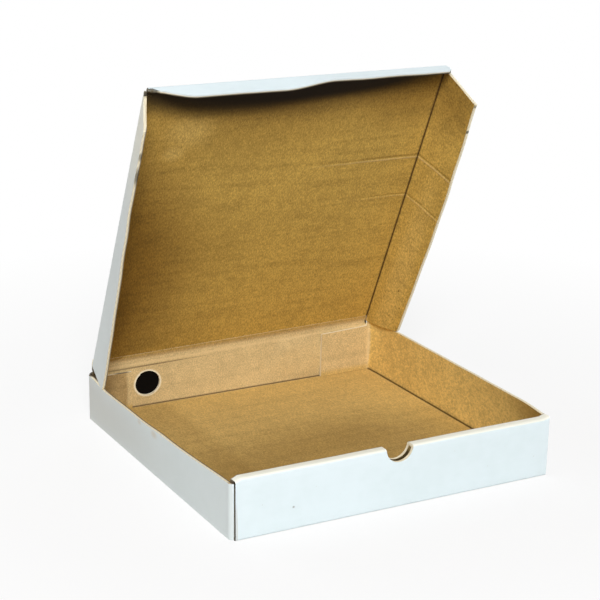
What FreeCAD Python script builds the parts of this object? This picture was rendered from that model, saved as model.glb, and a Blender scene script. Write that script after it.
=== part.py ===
import FreeCAD, Part
import os
import Sketcher

# A corrugated-board pizza box with a hinged lid, drawn half open.
# Millimetres. X runs along the front wall, Y from the front wall to the back wall, Z up.
# The origin is the middle of the underside of the tray.

os.makedirs("parts", exist_ok=True)
doc = FreeCAD.newDocument("PizzaBox")

# Driving dimensions
sizes = doc.addObject("Spreadsheet::Sheet", "Sizes")
drivingSizes = [
    ("insideWidth", 305, "clear space between the side walls"),
    ("insideDepth", 305, "clear space between the back wall and the rolled front wall"),
    ("boardThickness", 3, "B-flute board"),
    ("rollThickness", 10, "front wall over both its layers and the hollow between them"),
    ("frontHeight", 54, "front wall, from the underside of the floor"),
    ("sideHeight", 51, "side walls, from the underside of the floor"),
    ("foldRounding", 2, "outside radius of the folds round the floor"),
    ("layerGap", 0.3, "air between two layers that lie against each other"),
    ("rollEndGap", 0.5, "each end of the roll to the side wall"),
    ("frontTabLength", 50, "corner tabs caught in the hollow front wall"),
    ("frontTabHeight", 46, "top of those tabs above the underside"),
    ("leftTabLength", 45, "rear corner tab of the left wall"),
    ("leftTabHeight", 44, "top of that tab above the underside"),
    ("rightTabLength", 56, "rear corner tab of the right wall"),
    ("rightTabHeight", 45, "top of that tab above the underside"),
    ("lockTabWidth", 42, "tabs under the inner front panel"),
    ("lockTabPlace", 88, "middle of a lock tab from the middle of the box"),
    ("slotFit", 0.4, "lock tab to its slot, all round"),
    ("notchRadius", 13, "thumb notch in the front wall"),
    ("ventRadius", 13, "hole in the back wall"),
    ("ventPlace", 94, "vent hole, to the left of the middle"),
    ("ventHeight", 27.5, "vent hole above the underside"),
    ("lidAngle", 65, "lid above its closed position, as drawn"),
    ("lidSeat", 0.5, "closed lid above the rolled front wall"),
    ("lidSideFit", 1, "side flaps to the side walls"),
    ("lidFrontFit", 0.5, "front flap to the rolled front wall"),
    ("creaseGap", 0.3, "rounded fold edge to the panel beside it"),
    ("frontFlapDepth", 19, "front flap, from the outside of the lid"),
    ("frontFlapShort", 1, "front flap, each end back from the side fold"),
    ("frontFlapSlant", 26, "slant at the left end of the front flap"),
    ("frontFlapSlip", 3, "slant at the right end of the front flap"),
    ("frontFlapCorner", 5, "rounded corners of the front flap"),
    ("sideFlapDepth", 44, "side flaps, from the outside of the lid"),
    ("sideFlapStart", 2, "side flaps, from the hinge line"),
    ("sideFlapShoulder", 4.3, "straight part of their rear end"),
    ("sideFlapRearSlant", 25, "degrees, rear end of the side flaps"),
    ("sideFlapFrontSlant", 12, "degrees, front end of the side flaps"),
    ("sideFlapEndGap", 0.7, "side flaps to the front flap"),
    ("sideFlapCorner", 8, "rounded corners of the side flaps"),
]
for row, (alias, value, note) in enumerate(drivingSizes, start=1):
    sizes.set(f"A{row}", alias)
    sizes.set(f"B{row}", str(value))
    sizes.set(f"C{row}", note)
    sizes.setAlias(f"B{row}", alias)
doc.recompute()

closeness = 0.001

# Faces and lines that several pieces share, as expressions on the sheet
board = "Sizes.boardThickness"
halfBoard = f"{board} / 2"
sideInside = "(Sizes.insideWidth / 2)"
sideOutside = f"({sideInside} + {board})"
backOutside = f"((Sizes.insideDepth + {board} + Sizes.rollThickness) / 2)"
frontOutside = f"(-{backOutside})"
rollInside = f"({frontOutside} + Sizes.rollThickness)"
layerBottom = f"({board} + Sizes.layerGap)"
hingePlace = f"({backOutside} - {halfBoard})"
hingeHeight = f"(Sizes.frontHeight + Sizes.lidSeat + {halfBoard})"
creaseRoom = f"({halfBoard} + Sizes.creaseGap)"
lidReach = f"({hingePlace} - {rollInside} - Sizes.lidFrontFit - {halfBoard})"
sideFold = f"({sideInside} - Sizes.lidSideFit - {halfBoard})"


def near(first, second):
    return abs(first - second) < closeness


def number(expression):
    return float(sizes.evalExpression(expression))


def newBody(name):
    body = doc.addObject("PartDesign::Body", name)
    body.Label = name
    return body


def flatSketch(body, name, plane, height=None):
    sketch = body.newObject("Sketcher::SketchObject", name)
    support = [feature for feature in body.Origin.OriginFeatures if feature.Role == plane][0]
    sketch.AttachmentSupport = [(support, "")]
    sketch.MapMode = "FlatFace"
    if height:
        sketch.setExpression(".AttachmentOffset.Base.z", height)
    return sketch


def hold(sketch, place, direction, expression):
    """Keeps one point of a sketch at an expression, measured from the sketch's origin."""
    kind, axis = {"across": ("DistanceX", -2), "up": ("DistanceY", -1)}[direction]
    value = number(expression)
    if near(value, 0):
        sketch.addConstraint(Sketcher.Constraint("PointOnObject", *place, axis))
    else:
        index = sketch.addConstraint(Sketcher.Constraint(kind, -1, 1, *place, value))
        sketch.setExpression(f"Constraints[{index}]", expression)


def arcBetween(start, end, middle):
    """The counter-clockwise arc from start to end."""
    halfway = (start - middle) + (end - middle)
    if halfway.Length < closeness:
        halfway = FreeCAD.Vector(end.y - start.y, start.x - end.x, 0)
    return Part.Arc(start, middle + halfway.normalize() * (start - middle).Length, end)


def turnsLeft(points):
    following = points[1:] + points[:1]
    return sum(start.x * end.y - end.x * start.y for start, end in zip(points, following)) > 0


def outline(sketch, corners, centres=None):
    """A closed outline through corners. An arc round a centre leaves each corner that centres names."""
    centres = centres or {}
    points = [FreeCAD.Vector(number(across), number(up), 0) for across, up in corners]
    if not turnsLeft(points):
        points.reverse()
        corners = corners[::-1]
        centres = {(len(points) - 2 - index) % len(points): centre for index, centre in centres.items()}
    edges = []
    for index, start in enumerate(points):
        end = points[(index + 1) % len(points)]
        if index in centres:
            middle = FreeCAD.Vector(number(centres[index][0]), number(centres[index][1]), 0)
            edges.append(sketch.addGeometry(arcBetween(start, end, middle)))
        else:
            edges.append(sketch.addGeometry(Part.LineSegment(start, end)))
    for index, edge in enumerate(edges):
        following = edges[(index + 1) % len(edges)]
        sketch.addConstraint(Sketcher.Constraint("Coincident", edge, 2, following, 1))
        hold(sketch, (edge, 1), "across", corners[index][0])
        hold(sketch, (edge, 1), "up", corners[index][1])
    for index, centre in centres.items():
        chord = points[(index + 1) % len(points)] - points[index]
        direction = "across" if abs(chord.y) > abs(chord.x) else "up"
        hold(sketch, (edges[index], 3), direction, centre[0] if direction == "across" else centre[1])


def rectangle(sketch, left, right, bottom, top):
    outline(sketch, [(left, bottom), (right, bottom), (right, top), (left, top)])


def circle(sketch, across, up, radius):
    middle = FreeCAD.Vector(number(across), number(up), 0)
    ring = sketch.addGeometry(Part.Circle(middle, FreeCAD.Vector(0, 0, 1), number(radius)))
    hold(sketch, (ring, 3), "across", across)
    hold(sketch, (ring, 3), "up", up)
    index = sketch.addConstraint(Sketcher.Constraint("Radius", ring, number(radius)))
    sketch.setExpression(f"Constraints[{index}]", radius)


def extrude(body, kind, sketch, length, symmetric=False, reverse=False):
    feature = body.newObject(f"PartDesign::{kind}", f"{sketch.Name}{kind}")
    feature.Profile = sketch
    feature.setExpression("Length", length)
    feature.SideType = "Symmetric" if symmetric else "One side"
    feature.Reversed = reverse
    doc.recompute()
    return feature


def dress(body, kind, name, size, chosen):
    """Rounds or bevels the edges whose bounding box passes the test chosen."""
    last = body.Tip
    names = [f"Edge{index}" for index, edge in enumerate(last.Shape.Edges, start=1) if chosen(edge.BoundBox)]
    feature = body.newObject(f"PartDesign::{kind}", name)
    feature.Base = (last, names)
    feature.setExpression("Radius" if kind == "Fillet" else "Size", size)
    doc.recompute()
    return feature


# Tray: floor, four walls, rolled front, corner tabs and lock tabs, one folded sheet
tray = newBody("tray")
sides = (("left", -1), ("right", 1))

floorOutline = flatSketch(tray, "floor", "XY_Plane")
rectangle(floorOutline, f"-{sideOutside}", sideOutside, frontOutside, backOutside)
extrude(tray, "Pad", floorOutline, board)

rollLayer = f"({rollInside} - {board})"
for name, side in sides:
    middle = f"{side} * Sizes.lockTabPlace"
    slotReach = "(Sizes.lockTabWidth / 2 + Sizes.slotFit)"
    slot = flatSketch(tray, f"{name}Slot", "XY_Plane")
    rectangle(
        slot,
        f"{middle} - {slotReach}",
        f"{middle} + {slotReach}",
        f"{rollLayer} - Sizes.slotFit",
        f"{rollInside} + Sizes.slotFit",
    )
    extrude(tray, "Pocket", slot, board, reverse=True)

backWall = flatSketch(tray, "backWall", "YZ_Plane")
rectangle(backWall, f"{backOutside} - {board}", backOutside, "0", f"{hingeHeight} - {creaseRoom}")
extrude(tray, "Pad", backWall, f"2 * {sideOutside}", symmetric=True)

frontPanel = flatSketch(tray, "frontPanel", "YZ_Plane")
underFold = "(Sizes.frontHeight - Sizes.foldRounding)"
outerFold = [(f"{frontOutside} + Sizes.foldRounding", "Sizes.frontHeight"), (frontOutside, underFold)]
panelSides = [
    (frontOutside, "0"),
    (f"{frontOutside} + {board}", "0"),
    (f"{frontOutside} + {board}", "Sizes.frontHeight"),
]
outline(frontPanel, panelSides + outerFold, {3: (outerFold[0][0], underFold)})
extrude(tray, "Pad", frontPanel, f"2 * {sideOutside}", symmetric=True)

frontRoll = flatSketch(tray, "frontRoll", "YZ_Plane")
rollCorners = [
    (frontOutside, f"Sizes.frontHeight - {board}"),
    (rollLayer, f"Sizes.frontHeight - {board}"),
    (rollLayer, layerBottom),
    (rollInside, layerBottom),
    (rollInside, underFold),
    (f"{rollInside} - Sizes.foldRounding", "Sizes.frontHeight"),
]
rollCentres = {4: (rollCorners[5][0], underFold), 6: (outerFold[0][0], underFold)}
outline(frontRoll, rollCorners + outerFold, rollCentres)
extrude(tray, "Pad", frontRoll, f"2 * ({sideInside} - Sizes.rollEndGap)", symmetric=True)

for name, side in sides:
    middle = f"{side} * Sizes.lockTabPlace"
    lockTab = flatSketch(tray, f"{name}LockTab", "XY_Plane", "Sizes.layerGap")
    tabReach = "Sizes.lockTabWidth / 2"
    rectangle(lockTab, f"{middle} - {tabReach}", f"{middle} + {tabReach}", rollLayer, rollInside)
    extrude(tray, "Pad", lockTab, board)

foldLine = f"({backOutside} - 2 * {board} - Sizes.layerGap)"
for name, side in sides:
    wall = flatSketch(tray, f"{name}Wall", "XY_Plane")
    rectangle(wall, f"{side} * {sideInside}", f"{side} * {sideOutside}", f"-{foldLine}", foldLine)
    extrude(tray, "Pad", wall, "Sizes.sideHeight")


def cornerTab(name, side, end, length, height):
    """A tab that turns the corner from a side wall and lies inside the front or back wall."""
    tab = flatSketch(tray, name, "XY_Plane", layerBottom)
    corner = (f"{side} * {sideInside}", f"{end} * {foldLine}")
    face = f"{end} * ({foldLine} + {board})"
    free = f"{side} * ({sideInside} - {length})"
    corners = [
        corner,
        (f"{side} * {sideOutside}", corner[1]),
        (corner[0], face),
        (free, face),
        (free, corner[1]),
    ]
    outline(tab, corners, {1: corner})
    extrude(tray, "Pad", tab, f"{height} - {layerBottom}")


cornerTab("leftFrontTab", -1, -1, "Sizes.frontTabLength", "Sizes.frontTabHeight")
cornerTab("rightFrontTab", 1, -1, "Sizes.frontTabLength", "Sizes.frontTabHeight")
cornerTab("leftBackTab", -1, 1, "Sizes.leftTabLength", "Sizes.leftTabHeight")
cornerTab("rightBackTab", 1, 1, "Sizes.rightTabLength", "Sizes.rightTabHeight")

notch = flatSketch(tray, "thumbNotch", "XZ_Plane")
circle(notch, "0", "Sizes.frontHeight", "Sizes.notchRadius")
extrude(tray, "Pocket", notch, backOutside, reverse=True)

vent = flatSketch(tray, "ventHole", "XZ_Plane")
circle(vent, "-Sizes.ventPlace", "Sizes.ventHeight", "Sizes.ventRadius")
extrude(tray, "Pocket", vent, backOutside)


def isFloorFold(box):
    across = abs(box.XMin + box.XMax) / 2
    along = abs(box.YMin + box.YMax) / 2
    return near(box.ZMax, 0) and (near(across, number(sideOutside)) or near(along, number(backOutside)))


dress(tray, "Fillet", "floorFolds", "Sizes.foldRounding", isFloorFold)


# Lid and flaps, drawn as the closed lid lies, with the hinge line at their origin
def hang(body):
    line = FreeCAD.Vector(0, number(hingePlace), number(hingeHeight))
    swing = FreeCAD.Rotation(FreeCAD.Vector(-1, 0, 0), number("Sizes.lidAngle"))
    body.Placement = FreeCAD.Placement(line, swing)
    body.setExpression("Placement.Base.y", hingePlace)
    body.setExpression("Placement.Base.z", hingeHeight)
    body.setExpression("Placement.Rotation.Angle", "Sizes.lidAngle * 1 deg")


lidPanel = newBody("lid_panel")
panelEnd = f"({lidReach} - {creaseRoom})"
panelHalf = f"({sideFold} - {creaseRoom})"
panelSection = flatSketch(lidPanel, "panelSection", "YZ_Plane")
panelCorners = [
    ("0", halfBoard),
    (f"-{panelEnd}", halfBoard),
    (f"-{panelEnd}", "0"),
    (f"-{panelEnd} + {halfBoard}", f"-{halfBoard}"),
    ("0", f"-{halfBoard}"),
]
outline(panelSection, panelCorners, {4: ("0", "0")})
extrude(lidPanel, "Pad", panelSection, f"2 * {panelHalf}", symmetric=True)
for name, side in sides:
    bevel = flatSketch(lidPanel, f"{name}Bevel", "XZ_Plane")
    edge = f"{side} * {panelHalf}"
    outline(bevel, [(edge, "0"), (f"{side} * ({panelHalf} - {halfBoard})", f"-{halfBoard}"), (edge, f"-{halfBoard}")])
    extrude(lidPanel, "Pocket", bevel, lidReach, reverse=True)
hang(lidPanel)


def roundEdgedSection(sketch, fold, low):
    """A board standing down from a fold at height 0, rounded over the fold."""
    corners = [
        (f"{fold} - {halfBoard}", "0"),
        (f"{fold} - {halfBoard}", low),
        (f"{fold} + {halfBoard}", low),
        (f"{fold} + {halfBoard}", "0"),
    ]
    outline(sketch, corners, {3: (fold, "0")})


frontFlap = newBody("lid_front_flap")
frontLow = f"({halfBoard} - Sizes.frontFlapDepth)"
frontHalf = f"({sideFold} - Sizes.frontFlapShort)"
frontSection = flatSketch(frontFlap, "frontFlapSection", "YZ_Plane")
roundEdgedSection(frontSection, f"-{lidReach}", frontLow)
extrude(frontFlap, "Pad", frontSection, f"2 * {frontHalf}", symmetric=True)
for name, side, slant in (("left", -1, "Sizes.frontFlapSlant"), ("right", 1, "Sizes.frontFlapSlip")):
    end = f"{side} * {frontHalf}"
    cutOff = flatSketch(frontFlap, f"{name}EndSlant", "XZ_Plane")
    outline(cutOff, [(end, "0"), (end, frontLow), (f"{side} * ({frontHalf} - {slant})", frontLow)])
    extrude(frontFlap, "Pocket", cutOff, f"2 * ({lidReach} + {board})", symmetric=True)


def isFrontFlapCorner(box):
    low = number(frontLow)
    return near(box.ZMin, low) and near(box.ZMax, low) and near(box.XMin, box.XMax)


dress(frontFlap, "Fillet", "frontFlapCorners", "Sizes.frontFlapCorner", isFrontFlapCorner)
hang(frontFlap)

sideLow = f"({halfBoard} - Sizes.sideFlapDepth)"
sideEnd = f"({lidReach} - {halfBoard} - Sizes.sideFlapEndGap)"
rearSpread = f"(-{sideLow} - Sizes.sideFlapShoulder) * tan(Sizes.sideFlapRearSlant * 1 deg)"
frontSpread = f"-{sideLow} * tan(Sizes.sideFlapFrontSlant * 1 deg)"


def isSideFlapCorner(box):
    low = number(sideLow)
    return near(box.ZMin, low) and near(box.ZMax, low) and near(box.YMin, box.YMax)


for name, side in sides:
    flap = newBody(f"lid_{name}_flap")
    section = flatSketch(flap, f"{name}FlapSection", "XZ_Plane", "Sizes.sideFlapStart")
    roundEdgedSection(section, f"{side} * {sideFold}", sideLow)
    extrude(flap, "Pad", section, f"{sideEnd} - Sizes.sideFlapStart")
    rearEnd = flatSketch(flap, f"{name}FlapRear", "YZ_Plane")
    rearCorners = [
        ("-Sizes.sideFlapStart", "-Sizes.sideFlapShoulder"),
        (f"-Sizes.sideFlapStart - {rearSpread}", sideLow),
        ("-Sizes.sideFlapStart", sideLow),
    ]
    outline(rearEnd, rearCorners)
    extrude(flap, "Pocket", rearEnd, f"2 * {sideOutside}", symmetric=True)
    frontEnd = flatSketch(flap, f"{name}FlapFront", "YZ_Plane")
    outline(frontEnd, [(f"-{sideEnd}", "0"), (f"-{sideEnd}", sideLow), (f"-{sideEnd} + {frontSpread}", sideLow)])
    extrude(flap, "Pocket", frontEnd, f"2 * {sideOutside}", symmetric=True)
    dress(flap, "Fillet", f"{name}FlapCorners", "Sizes.sideFlapCorner", isSideFlapCorner)
    hang(flap)

doc.recompute()
failed = [item.Name for item in doc.Objects if {"Invalid", "Error"} & set(item.State)]
if failed:
    raise RuntimeError("these did not build: " + ", ".join(failed))
bodies = [item for item in doc.Objects if item.TypeId == "PartDesign::Body"]
for body in bodies:
    if body.Shape.isNull() or not body.Shape.isValid() or len(body.Shape.Solids) != 1:
        raise RuntimeError(body.Label + " is not one sound solid")
for body in bodies:
    body.Shape.exportStep(os.path.join("parts", body.Label + ".step"))
    box = body.Shape.BoundBox
    print(body.Label, round(body.Shape.Volume), "mm3, from", round(box.XMin, 1), round(box.YMin, 1), round(box.ZMin, 1),
          "to", round(box.XMax, 1), round(box.YMax, 1), round(box.ZMax, 1))
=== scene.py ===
import bmesh
import bpy
import math
from mathutils import Matrix, Vector, noise


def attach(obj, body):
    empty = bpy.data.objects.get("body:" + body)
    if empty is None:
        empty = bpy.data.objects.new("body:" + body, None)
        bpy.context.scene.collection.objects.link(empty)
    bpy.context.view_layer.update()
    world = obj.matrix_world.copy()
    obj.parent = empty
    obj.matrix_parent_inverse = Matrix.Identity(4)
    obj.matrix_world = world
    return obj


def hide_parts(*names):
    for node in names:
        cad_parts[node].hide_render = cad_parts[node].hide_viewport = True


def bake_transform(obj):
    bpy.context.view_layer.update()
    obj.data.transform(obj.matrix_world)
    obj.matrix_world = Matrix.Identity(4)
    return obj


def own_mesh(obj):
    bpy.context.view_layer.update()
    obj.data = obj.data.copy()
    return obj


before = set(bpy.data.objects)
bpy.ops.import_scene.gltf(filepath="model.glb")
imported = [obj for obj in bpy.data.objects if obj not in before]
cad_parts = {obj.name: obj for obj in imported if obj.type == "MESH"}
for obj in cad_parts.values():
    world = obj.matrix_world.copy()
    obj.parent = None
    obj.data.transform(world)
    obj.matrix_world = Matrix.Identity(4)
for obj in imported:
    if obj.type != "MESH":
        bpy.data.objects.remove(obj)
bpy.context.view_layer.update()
mm = 0.001
board = 3.0  # corrugated board, in mm like every size below

# Shader maths: an expression on wires adds its Math nodes


class Wire:
    def __init__(self, paint, socket):
        self.paint, self.socket = paint, socket

    def __add__(self, other):
        return self.paint.maths("ADD", self, other)

    def __sub__(self, other):
        return self.paint.maths("SUBTRACT", self, other)

    def __rsub__(self, other):
        return self.paint.maths("SUBTRACT", other, self)

    def __mul__(self, other):
        return self.paint.maths("MULTIPLY", self, other)

    __radd__ = __add__
    __rmul__ = __mul__


class Paint:
    def __init__(self, name, roughness):
        self.material = bpy.data.materials.new(name)
        self.material.use_nodes = True
        self.tree = self.material.node_tree
        self.shader = self.tree.nodes["Principled BSDF"]
        self.feed(self.shader.inputs["Roughness"], roughness)
        self.feed(self.shader.inputs["Specular IOR Level"], 0.22)
        place = self.node("ShaderNodeAttribute", {"attribute_name": "place"})
        self.place = Wire(self, place.outputs["Vector"])
        apart = self.node("ShaderNodeSeparateXYZ", {}, Vector=self.place)
        self.x, self.y = (Wire(self, apart.outputs[axis]) for axis in "XY")
        layers = self.node("ShaderNodeUVMap", {"uv_map": "layers"})
        apart = self.node("ShaderNodeSeparateXYZ", {}, Vector=Wire(self, layers.outputs["UV"]))
        self.along, self.depth = (Wire(self, apart.outputs[axis]) for axis in "XY")

    def feed(self, socket, value):
        if isinstance(value, Wire):
            self.tree.links.new(value.socket, socket)
        else:
            socket.default_value = value

    def node(self, kind, settings, values=(), **sockets):
        made = self.tree.nodes.new(kind)
        for name, value in settings.items():
            setattr(made, name, value)
        for index, value in enumerate(values):
            self.feed(made.inputs[index], value)
        for name, value in sockets.items():
            self.feed(made.inputs[name], value)
        return made

    def maths(self, operation, *values):
        return Wire(self, self.node("ShaderNodeMath", {"operation": operation}, values).outputs[0])

    def noise(self, size, detail=2.0, stretch=(1, 1, 1)):
        scaled = self.node("ShaderNodeVectorMath", {"operation": "MULTIPLY"}, (self.place, Vector(stretch)))
        made = self.node("ShaderNodeTexNoise", {}, Vector=Wire(self, scaled.outputs[0]),
                         Scale=1 / (size * mm), Detail=detail, Roughness=0.55)
        return Wire(self, made.outputs["Fac"])

    def step(self, value, low, high):
        made = self.node("ShaderNodeMapRange", {"interpolation_type": "SMOOTHSTEP"}, (value, low, high, 0.0, 1.0))
        return Wire(self, made.outputs[0])

    def line(self, value, centre, width):
        return 1 - self.step(self.maths("ABSOLUTE", value - centre * mm), 0.0, width * mm)

    def spot(self, centre, reach, core):
        # 1 up to the core's share of the reach, falling to 0 at its end; each axis has its own reach
        moved = self.node("ShaderNodeVectorMath", {"operation": "SUBTRACT"}, (self.place, Vector(centre) * mm))
        share = Vector([1 / (size * mm) for size in reach])
        scaled = self.node("ShaderNodeVectorMath", {"operation": "MULTIPLY"}, (Wire(self, moved.outputs[0]), share))
        away = self.node("ShaderNodeVectorMath", {"operation": "LENGTH"}, (Wire(self, scaled.outputs[0]),))
        return 1 - self.step(Wire(self, away.outputs["Value"]), core, 1.0)

    def mark(self, colour, marks):  # each has its colour's name, centre, reach, strength and core
        for level, centre, reach, strength, core in marks:
            colour = self.mix(self.spot(centre, reach, core) * strength, colour, tone(level))
        return colour

    def mix(self, factor, low, high):
        made = self.node("ShaderNodeMix", {"data_type": "RGBA", "clamp_factor": True})
        for index, value in ((0, factor), (6, low), (7, high)):
            self.feed(made.inputs[index], value)
        return Wire(self, made.outputs[2])

    def finish(self, colour, height, reach):
        bump = self.node("ShaderNodeBump", {}, Strength=1.0, Distance=reach * mm, Height=height)
        self.feed(self.shader.inputs["Base Color"], colour)
        self.feed(self.shader.inputs["Normal"], Wire(self, bump.outputs["Normal"]))
        return self.material


def tint(red, green, blue):
    parts = []
    for level in (red, green, blue):
        share = level / 255
        parts.append(share / 12.92 if share <= 0.04045 else ((share + 0.055) / 1.055) ** 2.4)
    return (*parts, 1.0)


finishes = {
    # whitePaintedShade is the white paper painted greyer: painted shade for the left side
    "white": (237, 250, 255), "whiteShade": (232, 246, 250), "whitePaintedShade": (208, 207, 200),
    # glow is a painted highlight, brighter than the paper itself
    "whiteSpeck": (188, 184, 172), "glow": (255, 253, 238), "stainGrey": (120, 116, 104),
    # kraftLidShaded is the tray's kraft painted darker and deeper: painted shade for the shaded lid;
    # paleKraftAndPaintedLight is a paler tone and painted light; backWall is painted light for the back wall
    "kraftTray": (221, 188, 117), "kraftLidShaded": (205, 168, 84), "paleKraftAndPaintedLight": (242, 206, 124), "backWall": (226, 200, 150),
    # worn is wear and painted highlight on folds and creases
    "cream": (248, 240, 214), "tan": (206, 180, 134), "wearAndHighlight": (236, 208, 156),
    # shade and fold are painted shade: fold in inner corners, creases and edge gaps, and two brown specks on the right
    # flap; burn is painted shade, near black, in slits, gaps, the notch and under the front flap, with some dark torn
    # spots; ventPaintedShade is painted shade for the vent hole
    "shade": (136, 99, 34), "fold": (58, 34, 10), "blackShadeAndTears": (26, 16, 4), "ventPaintedShade": (14, 12, 10),
    "grain": {"kraftTray": 1.0, "kraftLidShaded": 1.35},  # how strongly each kraft's fibres show
    "flutePitch": 6.5, "wide": 9000,  # wide is a mark's reach along an axis that doesn't bound it
}
wide = finishes["wide"]


def tone(name):
    return tint(*finishes[name])


def ridges(paint):
    return paint.maths("SINE", paint.along * (2 * math.pi / (finishes["flutePitch"] * mm)))


def whitePaper(name, marks):
    paint = Paint(name, 0.6)
    broad, cloud, grain = paint.noise(80, 2), paint.noise(12, 3), paint.noise(0.9, 2)
    patches = paint.step(broad * 0.6 + cloud * 0.4, 0.35, 0.7)
    colour = paint.mix(patches, tone("white"), tone("whiteShade"))
    speck = paint.step(paint.noise(2.2, 1), 0.78, 0.84)
    colour = paint.mix(speck * 0.4, colour, tone("whiteSpeck"))
    return paint.finish(paint.mark(colour, marks), ridges(paint) * 0.1 + cloud * 0.3 + grain * 0.2, 0.1)


def kraftPaper(name, tones, marks, dents=()):
    # tones lie under the grain and marks over it; each dent has its place along y, width, strength and fade along x
    paint = Paint(name, 0.8)
    broad, cloud = paint.noise(110, 2), paint.noise(10, 2, (1.3, 0.8, 1))
    fibre, grain = paint.noise(1.7, 2, (1.5, 0.6, 1)), paint.noise(0.75, 2)
    blend = broad * 0.12 + cloud * 0.13 + fibre * 0.42 + grain * 0.33
    fleck, band = paint.step(paint.noise(1.5, 1), 0.6, 0.72), paint.noise(9, 2, (0.1, 1.3, 1))
    strength = finishes["grain"][name]
    level = paint.step(blend, 0.43, 0.54) * 0.2 + paint.step(blend, 0.51, 0.61) * 0.16 - fleck * 0.2 - 0.15
    level = level * strength - paint.step(band, 0.45, 0.7) * (0.075 * strength) + 0.9
    colour = paint.mark(tone(name), tones)
    colour = Wire(paint, paint.node("ShaderNodeVectorMath", {"operation": "SCALE"}, (colour,), Scale=level).outputs[0])
    height = cloud * 0.3 + grain * 0.6 + fibre * 0.3
    for centre, width, strength, fade in dents:
        value = paint.y + (paint.noise(60, 2) - 0.5) * 0.006
        shown = paint.step(paint.x, *(edge * mm for edge in fade))
        # a dent is drawn as a painted shade line beside a painted highlight line, over its bump
        dark, light = (paint.line(value, centre + shift, width) for shift in (-width * 0.7, width * 0.7))
        colour = paint.mix(dark * shown * strength, colour, tone("fold"))
        colour = paint.mix(light * shown * strength, colour, tone("wearAndHighlight"))
        height = height + (light - dark) * shown * 2.0
    return paint.finish(paint.mark(colour, marks), height, 0.14)


def cutBoard(name, marks):  # the raw edge runs from cream by the white paper to brown by the kraft
    paint = Paint(name, 0.85)
    wave = ridges(paint) * 0.3 + 0.5
    medium = 1 - paint.step(paint.maths("ABSOLUTE", paint.depth - wave), 0.1, 0.26)
    rough = paint.noise(1.3, 3)
    kraftSide = paint.step(paint.depth + (rough - 0.5) * 0.5, 0.5, 1.2)
    colour = paint.mix(kraftSide, tone("cream"), tone("tan"))
    colour = paint.mix(medium * 0.22, colour, tone("tan"))
    return paint.finish(paint.mark(colour, marks), rough * 0.6 - medium * 0.5, 0.25)


# Modelling helpers. Tests and steps are in mm.


def near(value, target):
    return abs(value - target) < 0.01


def ease(value, low, high):
    share = min(max((value - low) / (high - low), 0.0), 1.0)
    return share * share * (3 - 2 * share)


def wobble(first, second, size, seed):
    return noise.noise(Vector((first / size, second / size, seed)))


def choose(*pieces):
    bpy.ops.object.select_all(action="DESELECT")
    for piece in pieces:
        piece.select_set(True)
    bpy.context.view_layer.objects.active = pieces[0]


def startGrid(name, centre, size, cells, turn=(0, 0, 0)):
    bpy.ops.object.select_all(action="DESELECT")
    bpy.ops.mesh.primitive_grid_add(x_subdivisions=cells[0], y_subdivisions=cells[1], size=1, rotation=turn)
    piece = bpy.context.object
    piece.name = piece.data.name = name
    piece.scale = (size[0] * mm, size[1] * mm, 1)
    piece.location = Vector(centre) * mm
    bpy.ops.object.transform_apply(location=True, rotation=True, scale=True)
    return piece


def startRod(name, centre, radius, length):  # round, along y
    bpy.ops.object.select_all(action="DESELECT")
    bpy.ops.mesh.primitive_cylinder_add(vertices=64, radius=radius * mm, depth=length * mm,
                                        location=Vector(centre) * mm, rotation=(math.pi / 2, 0, 0))
    piece = bpy.context.object
    piece.name = piece.data.name = name
    return piece


def edit(piece):
    choose(piece)
    bpy.ops.object.mode_set(mode="EDIT")


def done():
    bpy.ops.object.mode_set(mode="OBJECT")


def pick(piece, kind, test):
    bpy.ops.mesh.select_mode(type=kind)
    bpy.ops.mesh.select_all(action="DESELECT")
    mesh = bmesh.from_edit_mesh(piece.data)
    for item in {"VERT": mesh.verts, "EDGE": mesh.edges, "FACE": mesh.faces}[kind]:
        corners = [item.co] if kind == "VERT" else [corner.co for corner in item.verts]
        if all(test(corner / mm) for corner in corners):
            item.select_set(True)
    bmesh.update_edit_mesh(piece.data)


def grow(step, rows):
    for _ in range(rows):
        bpy.ops.mesh.extrude_region_move(TRANSFORM_OT_translate={"value": Vector(step) * mm / rows})


def roundFold(piece, test, radius, segments=5):
    pick(piece, "EDGE", test)
    bpy.ops.mesh.bevel(offset=radius * mm, offset_type="OFFSET", segments=segments, affect="EDGES")


def faceOutside(piece, outward, test=lambda point: True):
    bpy.ops.mesh.select_all(action="SELECT")
    bpy.ops.mesh.normals_make_consistent(inside=False)
    faces = bmesh.from_edit_mesh(piece.data).faces
    vote = sum(face.normal.dot(outward) for face in faces if test(face.calc_center_median() / mm))
    if vote < 0:
        bpy.ops.mesh.flip_normals()


def thicken(piece, kraft):
    piece.data.materials.clear()
    for material in (white, kraft, cutEdge):
        piece.data.materials.append(material)
    solid = piece.modifiers.new("thickness", "SOLIDIFY")
    solid.thickness, solid.offset = board * mm, 0
    solid.use_even_offset = solid.use_quality_normals = True
    solid.material_offset, solid.material_offset_rim = 1, 2
    bpy.ops.object.modifier_apply(modifier=solid.name)


def bore(piece, centre, radius, length):
    drill = startRod("drill", centre, radius, length)
    for material in piece.data.materials:
        drill.data.materials.append(material)
    for face in drill.data.polygons:
        face.material_index = 2
    cut = piece.modifiers.new("hole", "BOOLEAN")
    cut.operation, cut.object, cut.solver, cut.use_self = "DIFFERENCE", drill, "EXACT", True
    bpy.context.view_layer.objects.active = piece
    bpy.ops.object.modifier_apply(modifier=cut.name)
    bpy.data.objects.remove(drill)


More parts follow.
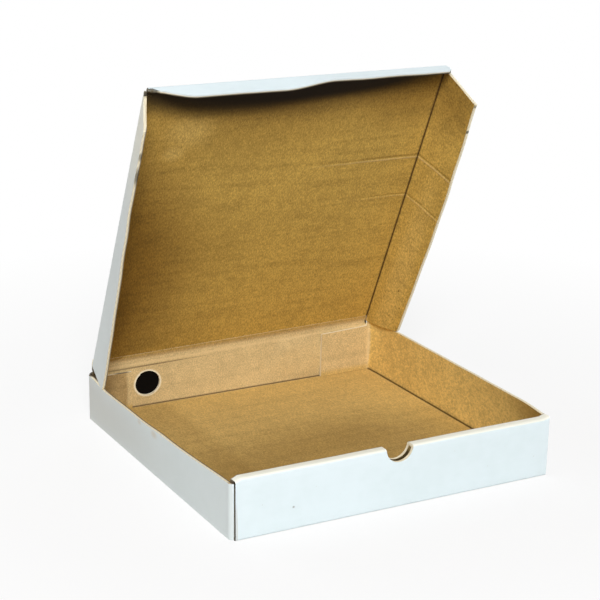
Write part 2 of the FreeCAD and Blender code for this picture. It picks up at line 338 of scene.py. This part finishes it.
def keepPlace(piece, layers):
    # the flat board's own coordinates, kept before it bends, for the patterns that follow it
    mesh = piece.data
    place = mesh.attributes.new("place", "FLOAT_VECTOR", "POINT")
    for vertex in mesh.vertices:
        place.data[vertex.index].vector = vertex.co
    while mesh.uv_layers:
        mesh.uv_layers.remove(mesh.uv_layers[0])
    chart = mesh.uv_layers.new(name="layers")
    for loop in mesh.loops:
        along, depth = layers(mesh.vertices[loop.vertex_index].co / mm)
        chart.data[loop.index].uv = (along * mm, depth)


def warp(piece, move):
    for vertex in piece.data.vertices:
        vertex.co = Vector(move(vertex.co / mm)) * mm


def smooth(piece):
    choose(piece)
    bpy.ops.object.shade_smooth_by_angle(angle=math.radians(32))


settled = 4.6  # how far the rear left corner has sunk


def settle(point):  # the drop fades to the right, to the front, to the floor and up the lid
    x, y, z = point
    left, back, up = (min(max(share, 0), 1) for share in ((155 - x) / 310, (y + 155) / 313, (z - 56) / 275))
    return x, y, z - settled * left * back * min(max(z, 0) / 50, 1) * (1 - up)


# Tray

tray = {
    "wallX": 154.0, "wallY": 157.5, "floorZ": 1.5, "wrapHalf": 152.2,
    "frontHeight": 54.0, "sideHeight": 51.0, "backHeight": 50.2,
    "rollBack": -150.5, "layerBottom": 3.4, "tabY": 154.2,
    "frontTab": (50.0, 46.0), "leftTab": (41.0, 44.0), "rightTab": (56.0, 49.5),
    "foldRadius": 0.7, "cornerRadius": 2.6, "foldRun": 4.0,
    "notch": (0, 54.0, 13.0), "vent": (-94.0, 27.5, 13.0),
    "leftTop": (-2.5, -7.0), "rearLift": 4.0,  # left wall's top upwards at its front and back, and its rear end again
    "leftBow": 2.5, "rightBow": 5.0, "rightTop": 4.2,  # walls outwards, and the right one's top upwards
    "bowCurve": 0.7,  # below 1, a wall leaves its upright near the floor
    "tabLift": 2.2,  # free ends of the rear tabs off the back wall
}


def trayLayers(point):  # along the flutes' row, and from 0 at the white side to 1 at the kraft side
    x, y, z = point
    if abs(x) > 152.35 and abs(y) < 150.5:
        return y, (155.5 - abs(x)) / board
    if y > 155.9:
        return z, (159 - y) / board
    if y < -155.9:
        return z, (y + 159) / board
    if y < -152.3 and z > 50.9 and abs(x) < 152.25:
        return y, (54 - z) / board
    if -152.2 < y < -148.8 and abs(x) < 152.25 and z > 3.2:
        return z, (-149 - y) / board
    if abs(y) >= 150.5:
        return abs(x) + 155, (155.7 - abs(y)) / board
    return y, z / board


def makeWrap():
    size = tray
    low, top = size["floorZ"], size["frontHeight"] - board / 2
    piece = startGrid("wrap", (0, 0, low), (2 * size["wrapHalf"], 2 * size["wallY"]), (60, 60))
    edit(piece)
    pick(piece, "EDGE", lambda point: near(point.y, size["wallY"]))
    grow((0, 0, size["backHeight"] - low), 6)
    pick(piece, "EDGE", lambda point: near(point.y, -size["wallY"]))
    grow((0, 0, top - low), 6)
    grow((0, size["rollBack"] + size["wallY"], 0), 2)
    grow((0, 0, size["layerBottom"] - top), 6)

    def onFold(point):
        floorFold = near(abs(point.y), size["wallY"]) and near(point.z, low)
        rollFold = near(point.z, top) and (near(point.y, -size["wallY"]) or near(point.y, size["rollBack"]))
        return floorFold or rollFold

    roundFold(piece, onFold, size["foldRadius"])
    faceOutside(piece, Vector((0, 0, -1)), lambda point: abs(point.z - low) < 0.1 and abs(point.y) < 150)
    done()
    return piece


def makeSide(side, backTab):
    size = tray
    height, fold, end = size["sideHeight"], size["wallX"], size["tabY"]
    piece = startGrid("side", (side * fold, 0, height / 2), (height, 2 * end), (8, 60), (0, math.pi / 2, 0))
    edit(piece)
    for way, (length, _) in ((-1, size["frontTab"]), (1, backTab)):
        pick(piece, "EDGE", lambda point: near(point.y, way * end))
        grow((-side * size["foldRun"], 0, 0), 1)
        grow((-side * (length - size["foldRun"] + board / 2), 0, 0), 9)
    roundFold(piece, lambda point: near(abs(point.y), end) and near(abs(point.x), fold), size["cornerRadius"], 6)
    low = size["layerBottom"] - 0.1
    for vertex in bmesh.from_edit_mesh(piece.data).verts:
        high = (size["frontTab"] if vertex.co.y < 0 else backTab)[1]
        if near(abs(vertex.co.y / mm), end) and abs(vertex.co.x / mm) < fold - size["foldRun"] + 0.1:
            vertex.co.z = low * mm + vertex.co.z * (high - low) / height
    faceOutside(piece, Vector((side, 0, 0)), lambda point: abs(point.y) < 150)
    done()
    return piece


def trayMove(point):
    x, y, z = point
    size = tray
    rise = min(max(z, 0) / 51, 1)
    share = min(max((y + 152) / 304, 0), 1)
    onWall = ease(abs(x), 149.0, 152.4)
    bend = rise ** size["bowCurve"] * onWall
    if x < 0 and onWall:
        front, back = size["leftTop"]
        x -= (size["leftBow"] * math.sin(math.pi * share) + 0.5 * wobble(y, z, 50, 3.1)) * bend
        lift = front + (back - front) * share + size["rearLift"] * ease(share, 0.84, 1)
        z += (lift + 0.5 * wobble(y, 0, 40, 8.8)) * rise * onWall
    if x > 0 and onWall:
        out = (0.2 + 0.9 * share) * min((1 - share) / 0.06, 1) ** 0.5
        x += (size["rightBow"] * out + 0.4 * wobble(y, z, 50, 6.1)) * bend
        lift = size["rightTop"] * ease(share, -0.1, 0.15) * (1 - 0.35 * ease(share, 0.8, 1))
        z += (lift + 0.4 * wobble(y, 0, 40, 2.8)) * rise * onWall
    if y < -148.5 and abs(x) < 152.3:
        y += 0.8 * wobble(x, z, 80, 7.7) * rise * ease(152.3 - abs(x), 0, 12)
        z += 0.45 * wobble(x, 0, 60, 1.7) * ease(z, 20, 54)
    if 155.9 < y and abs(x) < 152.3:
        y += 0.5 * wobble(x, z, 70, 5.2) * math.sin(math.pi * min(z / 50.2, 1))
    if 152.5 < y < 155.9 and abs(x) < 150 and z > 3.2:
        out = ease(150 - abs(x), 4, 50)
        y -= size["tabLift"] * out * (0.4 + 0.6 * rise) * (1.0 if x > 0 else 0.7)
    return settle((x, y, z))


# painted shade, near black, in the gaps at the rear corners
rearLeftShade = ("blackShadeAndTears", (-152, 155, 47), (8, 13, 12), 0.85, 0.5)
rearRightShade = ("blackShadeAndTears", (150.5, 157, 54), (4, 4, 4), 0.9, 0.5)
white = whitePaper("whiteLiner", [
    # a painted highlight along the front roll's top, and a painted shade line along the roll's inner top edge
    ("glow", (0, -154.7, 54), (wide, 9, 2.2), 0.9, 0.5), ("fold", (0, -149.4, 53.4), (wide, 2.6, 3), 0.8, 0.3),
    # painted shade: the left wall's outside painted greyer, more so towards the back
    ("whitePaintedShade", (-155.5, 0, 25), (3, wide, 60), 0.4, 0.8), ("whitePaintedShade", (-155.5, 165, 25), (3, 260, 60), 0.7, 0.1),
    ("stainGrey", (-100, -159, 20), (1.6, 3, 1.3), 0.6, 0.2), ("tan", (-155.5, -8, 46), (3, 9, 6), 0.35, 0.1),
    ("tan", (-155.5, 24, 48), (3, 6, 4), 0.3, 0.1), rearRightShade,
    # the first mark is painted shade down the left flap's outside
    ("whitePaintedShade", (-151.5, 0, -22), (1.7, wide, 60), 0.5, 0.8), ("cream", (-151.5, -300, -22), (1.7, 130, 60), 0.5, 0.1),
])
cutEdge = cutBoard("cutEdge", [
    # the front flap's cut edge: white at its outer side, painted shade at its inner side under the flap
    ("white", (0, -306.4, -17), (wide, 2.2, 30), 0.95, 0.4), ("blackShadeAndTears", (0, -302.6, -17), (wide, 2.4, 30), 0.95, 0.4),
    # painted shade at the lid's front left corner, and a painted shade line along the inner side of the left wall's top
    ("blackShadeAndTears", (-145, -306, -2), (9, 7, 6), 0.8, 0.5), ("fold", (-152.5, 0, 51), (1.5, wide, 5), 0.85, 0.3),
    # a painted shade line along the inner side of the left flap's free edge
    ("fold", (-148.5, -150, -44), (1.4, wide, 6), 0.7, 0.3),
    # painted shade in the slits at the front corners
    ("blackShadeAndTears", (-152.2, -157.5, 27), (2.5, 3.4, 60), 0.9, 0.5), ("blackShadeAndTears", (152.2, -157.5, 27), (2.5, 3.4, 60), 0.9, 0.5),
    # painted shade in the gap above the left rear tab
    ("blackShadeAndTears", (-121, 154, 44), (11, 4, 2), 0.75, 0.3),
    # dark spots along the flaps' free edges: painted shade where they meet the walls, and dark torn spots
    ("blackShadeAndTears", (-150, -247, -44), (4, 13, 4), 0.7, 0.2), ("blackShadeAndTears", (-150, -267, -44), (4, 6, 4), 0.6, 0.2),
    ("blackShadeAndTears", (150, -290, -44), (4, 3, 6), 0.8, 0.3), ("blackShadeAndTears", (150, -262, -47), (4, 2.4, 4), 0.8, 0.3),
    rearLeftShade, rearRightShade,
])
ventX, ventZ, ventRadius = tray["vent"]
trayKraft = kraftPaper("kraftTray", [
    ("shade", (30, -150, 0), (330, 235, 14), 0.48, 0.6), ("shade", (-152, 0, 0), (88, wide, 14), 0.22, 0.8),
    # painted light on the floor's right part
    ("shade", (-152, 0, 0), (20, wide, 14), 0.6, 0.1), ("paleKraftAndPaintedLight", (140, 20, 0), (80, 150, 14), 0.3, 0.2),
    # painted light on the right wall's inside and on the back wall
    ("paleKraftAndPaintedLight", (154, 0, 34), (5, wide, 34), 0.9, 0.8), ("backWall", (0, 157, 30), (wide, 7, 32), 0.8, 0.85),
    ("shade", (-133, 153.6, 25), (20, 2.2, 60), 0.5, 0.85), ("shade", (0, 156, 58), (wide, 8, 5), 0.25, 0.3),
], [
    ("shade", (152, -160, 54), (9, 180, 70), 0.4, 0.1), ("shade", (152, -160, 54), (9, 76, 54), 0.75, 0.1),
    # painted shade in the inner corners of the floor and walls, over the creases' own dark
    ("fold", (-152.5, 0, 3), (2, wide, 2), 0.9, 0), ("fold", (152.5, 0, 3), (2, wide, 2), 0.9, 0),
    ("fold", (0, 156, 3), (wide, 2, 2), 0.8, 0),
    # the rear corner folds paler: wear and a painted highlight on the rounded folds
    ("wearAndHighlight", (152.5, 154, 27), (5, 5, 40), 0.7, 0), ("wearAndHighlight", (-152.5, 154, 27), (5, 5, 40), 0.5, 0),
    ("cream", (ventX, 156, ventZ), (15.5, 6, 15.5), 0.9, 0.87),
    # a painted shade line in the dent under the hinge at the left, and a painted highlight along the back wall's top
    ("fold", (-95, 156, 46.8), (85, 3, 1.3), 0.6, 0.2), ("wearAndHighlight", (0, 156, 50.2), (wide, 3, 2.4), 0.5, 0),
    # painted shade, near black, inside the thumb notch
    ("blackShadeAndTears", (0, -154, 40), (24, 4, 24), 0.9, 0.7), rearLeftShade, rearRightShade,
])

wrap = makeWrap()
thicken(wrap, trayKraft)
bore(wrap, (tray["notch"][0], -154, tray["notch"][1]), tray["notch"][2], 16)
bore(wrap, (ventX, 157.5, ventZ), ventRadius, 8)
boards = [wrap]
for side, backTab in ((-1, tray["leftTab"]), (1, tray["rightTab"])):
    boards.append(makeSide(side, backTab))
    thicken(boards[-1], trayKraft)
choose(*boards)
bpy.ops.object.join()
wrap.name = wrap.data.name = "trayBoard"
keepPlace(wrap, trayLayers)
warp(wrap, trayMove)
smooth(wrap)
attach(wrap, "tray")
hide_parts("tray")
print("tray made")

# Lid, drawn closed with the hinge line at its origin: x across, y from the hinge to the front as negative, z up

lid = {
    "angle": 65.0, "hingeY": 157.5, "hingeZ": 56.0, "reach": 304.5, "sideFold": 150.0,
    "strip": 6.0, "foldRadius": 1.4, "relief": 1.6,  # boards on each side of a fold, and the front corners' relief
    "hingeHalf": 149.6,  # half the hinge strip's width
    "frontDepth": 17.5, "frontHalf": 149.0,
    "sideDepth": {"left": 44.0, "right": 47.0}, "sideStart": 0.5, "sideEnd": 302.3,
    "rearSlant": {"left": 9.0, "right": 26.0}, "frontSlant": 12.0, "shoulder": 4.3, "cornerStep": 5.5,
    "foldTo": {"left": -147.5, "right": 147.5},  # the x that a side flap would flatten towards as the lid turns; nothing here moves a flap by it
    "leftLean": (9.5, 18.5), "rightLean": (8.0, 15.0, 12.5), "frontLean": (0.0, 18.0), "skew": (1.5, 6.5),
    "rise": 3.2, "stretch": 2.0,  # the front edge, up and forwards
}
angle, reach, fold, strip = math.radians(lid["angle"]), lid["reach"], lid["sideFold"], lid["strip"]
pivot = Vector((0, lid["hingeY"], lid["hingeZ"]))
alongLid = Vector((0, -math.cos(angle), math.sin(angle)))
intoLid = Vector((0, -math.sin(angle), -math.cos(angle)))
hinge = Matrix.Translation(pivot * mm) @ Matrix.Rotation(-angle, 4, "X")


def inRoom(x, along, depth):
    return (Vector((x, 0, 0)) + pivot + alongLid * along + intoLid * depth) * mm


def lidLayers(point):
    # as trayLayers
    x, y, z = point
    if z < -1.6 and abs(x) > 146.5 and y > -302.6:
        return y, (151.5 - abs(x)) / board
    if z < -1.6 and y < -302.8:
        return y + z, (y + 306) / board
    return y, (1.5 - z) / board


def frontShape(x):  # how deep the front flap is allowed to be at x
    left = lid["frontDepth"] * ease(x + lid["frontHalf"], -10, 42)
    right = lid["frontDepth"] * min(max((lid["frontHalf"] - x) / 5, 0), 1) ** 0.5
    return min(left, right)


def lidMove(point):
    x, y, z = point
    forward, depth = -y / reach, -z
    side = -1 if x < 0 else 1
    if abs(x) > 147 and depth > 0.5 and -y < 303.2:
        rear, middle, front = lid["rightLean"]
        low, high = lid["leftLean"]
        turn = rear + (middle - rear) * ease(forward, 0, 0.5) + (front - middle) * ease(forward, 0.6, 1)
        lean = math.radians(low + (high - low) * ease(forward, 0, 0.8) if x < 0 else turn)
        x += side * (depth * math.tan(lean) + wobble(y, z, 34, 2.0 + side) * depth / 42)
        z += depth * (1 - math.cos(lean)) * 0.8
    if -y > 302.9 and depth > 0.5:
        low, high = lid["frontLean"]
        lean = math.radians(low + (high - low) * ease(x, -25, 25))
        y -= depth * math.tan(lean) - 0.6 * wobble(x, z, 40, 9.0) * depth / 17
    inner = (1 - (x / 150) ** 2) * math.sin(math.pi * min(max(forward, 0), 1))
    z += (1.6 * wobble(x, y, 130, 4.4) + 1.0) * max(inner, 0)
    x += lid["skew"][0] + (lid["skew"][1] - lid["skew"][0]) * forward
    return x, y - lid["stretch"] * forward, z + lid["rise"] * forward


# the lid's kraft is the tray's board painted darker and deeper, a painted shade for the shaded lid; most of its tones
# and marks are painted shade and light
lidKraft = kraftPaper("kraftLidShaded", [
    ("shade", (-150, -110, 0), (100, 190, 50), 0.9, 0.25), ("shade", (-110, -20, 0), (120, 90, 50), 0.25, 0.1),
    # painted light on the right flap's inside
    ("shade", (-20, -308, 0), (230, 120, 20), 0.5, 0.2), ("paleKraftAndPaintedLight", (151, -60, -27), (4, 220, 26), 0.35, 0.6),
    ("shade", (120, -300, -20), (90, 80, 70), 0.65, 0.3), ("paleKraftAndPaintedLight", (-100, -258, 0), (34, 26, 20), 0.3, 0.1),
    ("paleKraftAndPaintedLight", (-112, -236, 0), (16, 12, 20), 0.3, 0.1), ("shade", (-80, -120, 0), (70, 80, 50), 0.3, 0.1),
], [
    # painted shade in the inner corners of the lid panel and its side flaps
    ("fold", (-148.5, 0, -1.5), (2, wide, 2), 0.9, 0), ("fold", (148.5, 0, -1.5), (2, wide, 2), 0.95, 0),
    # painted shadow under the front flap, near black along its fold
    ("fold", (-10, -308, 0), (200, 56, 18), 0.7, 0.4), ("blackShadeAndTears", (-60, -308, 0), (150, 42, 16), 0.85, 0.6),
    ("blackShadeAndTears", (0, -308, 0), (190, 33, 16), 0.95, 0.66), ("blackShadeAndTears", (0, -303.5, -10), (149, 4, 20), 0.9, 0.8),
    # a painted highlight along the lid's hinge edge
    ("wearAndHighlight", (0, 1, 0), (wide, 9, 9), 0.6, 0),
    ("fold", (149, -62, -32), (3, 1.6, 1.6), 0.8, 0.2), ("fold", (149, -46, -40), (3, 1.4, 1.4), 0.8, 0.2),
], [(-206, 1.8, 0.3, (10, 120)), (-160, 1.6, 0.18, (70, 160))])


def finishLid(piece):
    keepPlace(piece, lidLayers)
    warp(piece, lidMove)
    piece.data.transform(hinge)
    warp(piece, settle)
    smooth(piece)


def foldStrip(name, centre, size, cells, edge):  # a strip of the panel that turns down over its fold
    piece = startGrid(name, centre, size, cells)
    edit(piece)
    pick(piece, "EDGE", edge)
    grow((0, 0, -strip), 3)
    roundFold(piece, lambda point: edge(point) and near(point.z, 0), lid["foldRadius"])
    faceOutside(piece, Vector((0, 0, 1)), lambda point: near(point.z, 0))
    done()
    return piece


panel = startGrid("lidPanel", (0, -reach / 2, 0), (2 * (fold - strip), reach - 2 * strip), (56, 56))
thicken(panel, lidKraft)
finishLid(panel)
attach(panel, "lid")
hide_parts("lid_panel")

hingeFold = startGrid("hingeFold", (0, lid["hingeY"], (tray["backHeight"] + lid["hingeZ"]) / 2),
                      (2 * lid["hingeHalf"], lid["hingeZ"] - tray["backHeight"]), (60, 2), (math.pi / 2, 0, 0))
edit(hingeFold)
pick(hingeFold, "EDGE", lambda point: near(point.z, lid["hingeZ"]))
grow(alongLid * strip, 2)
roundFold(hingeFold, lambda point: near(point.z, lid["hingeZ"]) and near(point.y, lid["hingeY"]), 1.5, 4)
faceOutside(hingeFold, Vector((0, 1, 0)))
done()
thicken(hingeFold, trayKraft)
keepPlace(hingeFold, lambda point: (point.z, (159 - point.y) / board if point.z < 56 else 0.5))


def reachCorner(point):  # the strip's right end goes on to the side flap
    x, y, z = point
    return x + 1.8 * ease(x, 140, 149) * (1 - ease(z, 54, 58.5)), y, z


warp(hingeFold, reachCorner)
warp(hingeFold, settle)
smooth(hingeFold)
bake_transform(hingeFold)

frontFold = foldStrip("frontFold", (0, -(reach - strip / 2), 0), (2 * (fold - lid["relief"]), strip), (90, 3),
                      lambda point: near(point.y, -reach))


def trimFront(point):
    x, y, z = point
    if z < -0.01:
        z = -min(-z, max(frontShape(x), 0.05)) if z > -strip - 0.01 else z
    return x, y, z


warp(frontFold, trimFront)
thicken(frontFold, lidKraft)
finishLid(frontFold)
inRoom(0, reach - 2.2, 0.6)
inRoom(0, reach + 0.4, 3.2)
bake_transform(frontFold)

for side, name in ((-1, "left"), (1, "right")):
    start, end = lid["sideStart"], lid["sideEnd"] - 0.2
    made = foldStrip(f"{name}Fold", (side * (fold - strip / 2), -(start + end) / 2, 0), (strip, end - start), (3, 60),
                     lambda point: near(point.x, side * fold))
    newStart, newEnd = strip + 0.05, reach - strip - 0.05

    def fitPanel(point):  # the half of the strip that lies in the panel is shorter than the half in the flap
        x, y, z = point
        if z > -0.5 and abs(x) < fold - 1.0:
            share = (-y - start) / (end - start)
            y = -(newStart + (newEnd - newStart) * share)
        return x, y, z

    warp(made, fitPanel)
    thicken(made, lidKraft)
    finishLid(made)
    inRoom(side * (fold - 2.2), 0, 0.6)
    inRoom(side * (fold + 0.4), 0, 3.2)
    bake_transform(made)

# Flaps

deep = lid["frontDepth"]
frontFlap = startGrid("frontFlap", (0, -reach, -(strip + deep) / 2), (2 * lid["frontHalf"], deep - strip), (90, 4),
                      (math.pi / 2, 0, 0))
edit(frontFlap)
pick(frontFlap, "FACE", lambda point: frontShape(point.x) < strip + 0.6)
bpy.ops.mesh.delete(type="FACE")
faceOutside(frontFlap, Vector((0, -1, 0)))
done()


def shapeFront(point):  # the free edge rises to the fold at the left end
    x, y, z = point
    return x, y, -strip - (-z - strip) * max(frontShape(x) - strip, 0.3) / (deep - strip)


warp(frontFlap, shapeFront)
thicken(frontFlap, lidKraft)
finishLid(frontFlap)
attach(frontFlap, "front_flap")
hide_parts("lid_front_flap")

for side, name in ((-1, "left"), (1, "right")):
    start, end, low = lid["sideStart"], lid["sideEnd"], lid["sideDepth"][name]
    flap = startGrid(f"{name}Flap", (side * fold, -(start + end) / 2, -(strip + low) / 2), (low - strip, end - start),
                     (9, 60), (0, math.pi / 2, 0))
    edit(flap)
    rearCut = (-start, lid["rearSlant"][name], 1, -lid["shoulder"])
    frontCut = (-end, lid["frontSlant"], -1, 0)
    for corner, slant, way, level in (rearCut, frontCut):
        turn = math.radians(slant)
        bpy.ops.mesh.select_all(action="SELECT")
        bpy.ops.mesh.bisect(plane_co=Vector((0, corner, level)) * mm,
                            plane_no=(0, way * math.cos(turn), -math.sin(turn)),
                            clear_outer=True, threshold=0.00001)
    pick(flap, "VERT", lambda point: near(point.z, -low))
    mesh = bmesh.from_edit_mesh(flap.data)
    bottom = sorted((corner for corner in mesh.verts if corner.select), key=lambda corner: corner.co.y)
    for corner in mesh.verts:
        corner.select_set(corner in (bottom[0], bottom[-1]))
    bmesh.update_edit_mesh(flap.data)
    bpy.ops.mesh.bevel(offset=lid["cornerStep"] * mm, segments=6, affect="VERTICES")
    faceOutside(flap, Vector((side, 0, 0)))
    done()
    thicken(flap, lidKraft)
    finishLid(flap)
    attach(flap, f"{name}_flap")
    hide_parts(f"lid_{name}_flap")
    lid["foldTo"][name] * mm
    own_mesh(flap)
print("lid made")

# A dark disc behind the vent hole: painted shade, standing for the shadow seen through it

ventShade = startRod("ventShade", (ventX, 158.0, ventZ), ventRadius + 0.3, 0.4)
bpy.ops.object.transform_apply(location=True, rotation=True, scale=True)
edit(ventShade)
pick(ventShade, "FACE", lambda point: point.y < 157.9)
bpy.ops.mesh.inset(thickness=3 * mm)
done()
dark = bpy.data.materials.new("ventPaintedShade")
dark.use_nodes = True
shader = dark.node_tree.nodes["Principled BSDF"]
shader.inputs["Base Color"].default_value = tone("ventPaintedShade")
shader.inputs["Roughness"].default_value = 0.95
shader.inputs["Specular IOR Level"].default_value = 0.05
ventShade.data.materials.append(dark)
warp(ventShade, settle)
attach(ventShade, "tray")

# Stage, light and camera

stage = {
    "floorSize": 9.0, "world": 0.17,
    "fade": (0.3, 0.75), "floorWhite": (0.78, 1.0),  # from its near to its far end, how much of the floor is plain white
    "plain": (0.6, 0.585, 0.56, 1), "seen": (0.95, 0.95, 0.95, 1), "white": (1, 1, 1, 1), "soft": (1.0, 0.97, 0.93, 1),
    "lamps": {  # place, target, size and power
        "key": ((-1.2, -2.66, 2.3), (0, 0, 0.12), 1.26, 113.0),
        "sideFill": ((-2.3, -0.5, 0.4), (0, 0, 0.15), 1.4, 4.0),
        "leftFill": ((-1.3, 2.3, 0.95), (0, 0.1, 0.15), 1.4, 17.0),
        "backFill": ((1.5, 2.1, 1.3), (0, 0.1, 0.15), 1.6, 12.0),
    },
}


def addNodes(tree, *kinds):
    return [tree.nodes.new(f"ShaderNode{kind}") for kind in kinds]


def seenRay(tree):  # 1 for what the eye, a gloss or a clear surface sees
    path, both, every = addNodes(tree, "LightPath", "Math", "Math")
    for made, first, second in ((both, path.outputs["Is Camera Ray"], path.outputs["Is Glossy Ray"]),
                                (every, both.outputs[0], path.outputs["Is Transmission Ray"])):
        made.operation, made.use_clamp = "ADD", True
        tree.links.new(first, made.inputs[0])
        tree.links.new(second, made.inputs[1])
    return every.outputs[0]


def makeGround():
    bpy.ops.object.select_all(action="DESELECT")
    bpy.ops.mesh.primitive_plane_add(size=stage["floorSize"], location=(0, 0, 0))
    ground = bpy.context.object
    ground.name = "ground"
    material = bpy.data.materials.new("paleGround")
    material.use_nodes = True
    tree = material.node_tree
    tree.nodes.remove(tree.nodes["Principled BSDF"])
    plain, seen, glow = addNodes(tree, "BsdfDiffuse", "BsdfDiffuse", "Emission")
    for made, colour in ((plain, "plain"), (seen, "seen"), (glow, "white")):
        made.inputs["Color"].default_value = stage[colour]
    place, away, far = addNodes(tree, "TexCoord", "VectorMath", "MapRange")
    away.operation = "LENGTH"
    for index, value in enumerate((*stage["fade"], *stage["floorWhite"])):
        far.inputs[index + 1].default_value = value
    paler, chosen = addNodes(tree, "MixShader", "MixShader")
    tree.links.new(place.outputs["Object"], away.inputs[0])
    tree.links.new(away.outputs["Value"], far.inputs["Value"])
    for made, sources in ((paler, (far.outputs[0], seen.outputs[0], glow.outputs[0])),
                          (chosen, (seenRay(tree), plain.outputs[0], paler.outputs[0]))):
        for index, source in enumerate(sources):
            tree.links.new(source, made.inputs[index])
    tree.links.new(chosen.outputs[0], tree.nodes["Material Output"].inputs["Surface"])
    ground.data.materials.append(material)


def lightWorld():
    world = bpy.context.scene.world or bpy.data.worlds.new("World")
    bpy.context.scene.world = world
    world.use_nodes = True
    tree = world.node_tree
    tree.nodes.clear()
    out, soft, bright, mix = addNodes(tree, "OutputWorld", "Background", "Background", "MixShader")
    soft.inputs["Color"].default_value = stage["soft"]
    soft.inputs["Strength"].default_value = stage["world"]
    bright.inputs["Color"].default_value = stage["white"]
    for index, source in enumerate((seenRay(tree), soft.outputs[0], bright.outputs[0])):
        tree.links.new(source, mix.inputs[index])
    tree.links.new(mix.outputs[0], out.inputs["Surface"])


def addLamp(name, place, target, size, power):
    data = bpy.data.lights.new(name, "AREA")
    data.shape, data.size, data.energy = "DISK", size, power
    lamp = bpy.data.objects.new(name, data)
    bpy.context.scene.collection.objects.link(lamp)
    lamp.location = place
    lamp.rotation_euler = (Vector(target) - Vector(place)).to_track_quat("-Z", "Y").to_euler()


makeGround()
lightWorld()
for name, (place, target, size, power) in stage["lamps"].items():
    addLamp(name, place, target, size, power)

# the photo's side, solved from the box's corners
view = {"yaw": 28.28, "pitch": 16.775, "roll": 0.608, "place": (-0.68857, -1.26027, 0.57188), "lens": 100.16}
yaw, pitch, roll = (math.radians(view[key]) for key in ("yaw", "pitch", "roll"))
forward = Vector((math.sin(yaw) * math.cos(pitch), math.cos(yaw) * math.cos(pitch), -math.sin(pitch)))
right = Vector((math.cos(yaw), -math.sin(yaw), 0))
above = right.cross(forward)
tilted = right * math.cos(roll) + above * math.sin(roll)
above = above * math.cos(roll) - right * math.sin(roll)
camera = bpy.data.objects.new("camera", bpy.data.cameras.new("camera"))
bpy.context.scene.collection.objects.link(camera)
camera.data.lens, camera.data.sensor_width = view["lens"], 36
camera.matrix_world = Matrix.Translation(view["place"]) @ Matrix((tilted, above, -forward)).transposed().to_4x4()
bpy.context.scene.camera = camera
bpy.context.scene.view_settings.view_transform = "Standard"
print("stage made")
